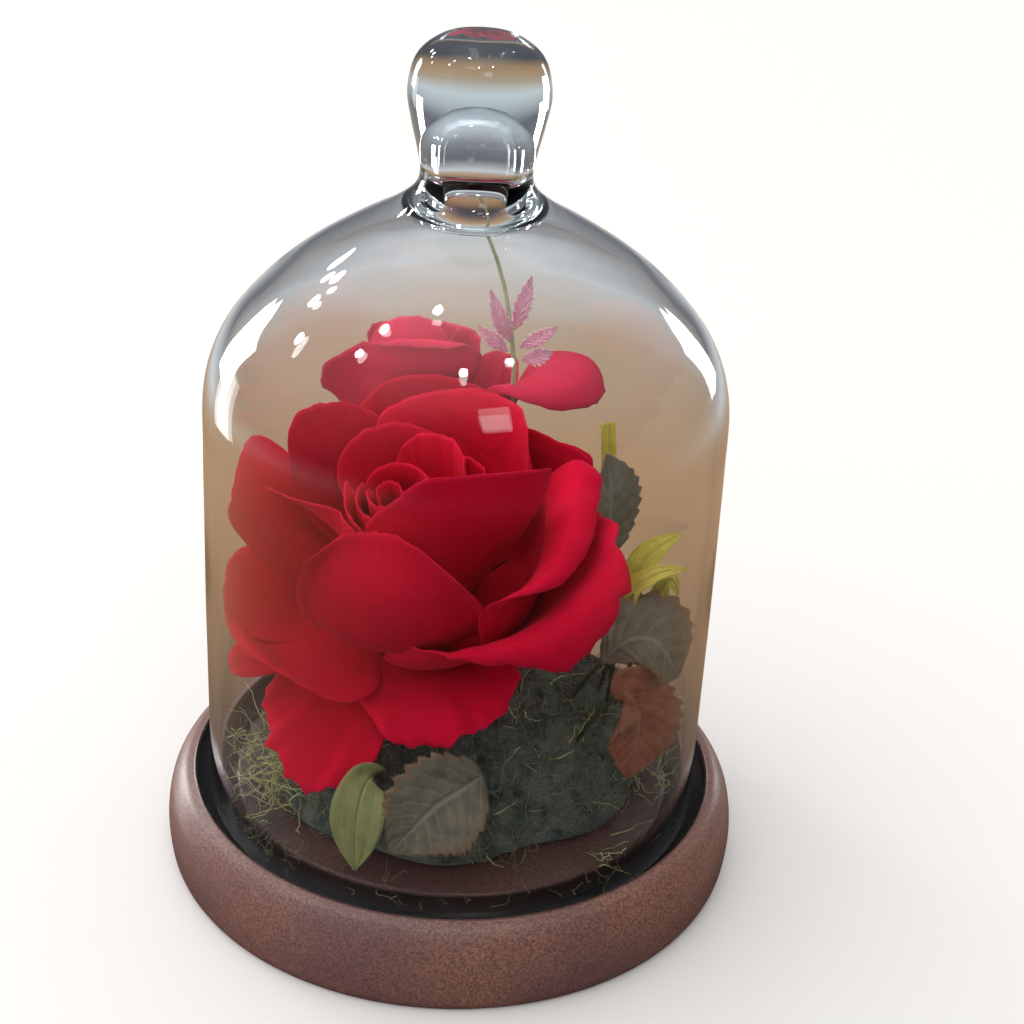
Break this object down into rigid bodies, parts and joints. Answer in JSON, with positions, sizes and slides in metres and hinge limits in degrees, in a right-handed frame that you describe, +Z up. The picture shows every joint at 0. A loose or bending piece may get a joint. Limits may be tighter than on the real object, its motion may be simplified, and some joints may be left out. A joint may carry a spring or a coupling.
{
  "type": "preserved rose in glass dome",
  "caption": "Open velvety red roses with leaves and moss, fixed on a turned wooden base under a clear glass dome with a round knob.",
  "frame": {"origin": "middle of the base's underside, on the surface it stands on", "axes": "+Z up through the dome's knob; -Y towards the viewer, the way the large rose leans; +X to the right"},
  "size_m": [0.141, 0.141, 0.2015],
  "materials": {
    "wood_base": "satin copper brown stain",
    "glass_dome": "clear blown glass",
    "moss_mound": "dyed fibrous moss",
    "front_rose_petal": "velvety deep red",
    "rear_rose_petal": "velvety red",
    "rose_stem": "matte green",
    "green_leaf": "matte grey green",
    "wine_leaf": "matte wine red",
    "tongue_leaf": "matte lime",
    "lime_blade": "matte lime yellow",
    "spray_stem": "matte pale green",
    "pink_leaflet": "matte pink"
  },
  "bodies": {
    "root": {"front_petal_01": "front_rose_petal", "front_petal_02": "front_rose_petal", "front_petal_03": "front_rose_petal", "front_petal_04": "front_rose_petal", "front_petal_05": "front_rose_petal", "front_petal_06": "front_rose_petal", "front_petal_07": "front_rose_petal", "front_petal_08": "front_rose_petal", "front_petal_09": "front_rose_petal", "front_petal_10": "front_rose_petal", "front_petal_11": "front_rose_petal", "front_petal_12": "front_rose_petal", "front_petal_13": "front_rose_petal", "front_petal_14": "front_rose_petal", "front_petal_15": "front_rose_petal", "front_petal_16": "front_rose_petal", "front_petal_17": "front_rose_petal", "front_petal_18": "front_rose_petal", "front_petal_19": "front_rose_petal", "front_petal_20": "front_rose_petal", "front_petal_21": "front_rose_petal", "front_petal_22": "front_rose_petal", "front_petal_23": "front_rose_petal", "front_petal_24": "front_rose_petal", "front_rose_core": "rose_stem", "glass_dome": "glass_dome", "lime_blade_curl": "lime_blade", "lime_blade_lower": "lime_blade", "lime_blade_tall": "lime_blade", "lime_blade_upper": "lime_blade", "moss_mound": "moss_mound", "rear_petal_01": "rear_rose_petal", "rear_petal_02": "rear_rose_petal", "rear_petal_03": "rear_rose_petal", "rear_petal_04": "rear_rose_petal", "rear_petal_05": "rear_rose_petal", "rear_petal_06": "rear_rose_petal", "rear_petal_07": "rear_rose_petal", "rear_petal_08": "rear_rose_petal", "rear_petal_09": "rear_rose_petal", "rear_petal_10": "rear_rose_petal", "rear_petal_11": "rear_rose_petal", "rear_petal_12": "rear_rose_petal", "rear_petal_13": "rear_rose_petal", "rear_rose_core": "rose_stem", "rose_leaf_front": "green_leaf", "rose_leaf_rear_left": "green_leaf", "rose_leaf_rear_right": "green_leaf", "rose_leaf_right_lower": "green_leaf", "rose_leaf_right_upper": "green_leaf", "rose_leaf_wine": "wine_leaf", "spray_leaflet_1": "pink_leaflet", "spray_leaflet_2": "pink_leaflet", "spray_leaflet_3": "pink_leaflet", "spray_leaflet_4": "pink_leaflet", "spray_leaflet_5": "pink_leaflet", "spray_stem": "spray_stem", "tongue_leaf": "tongue_leaf", "wood_base": "wood_base"}
  },
  "joints": []
}
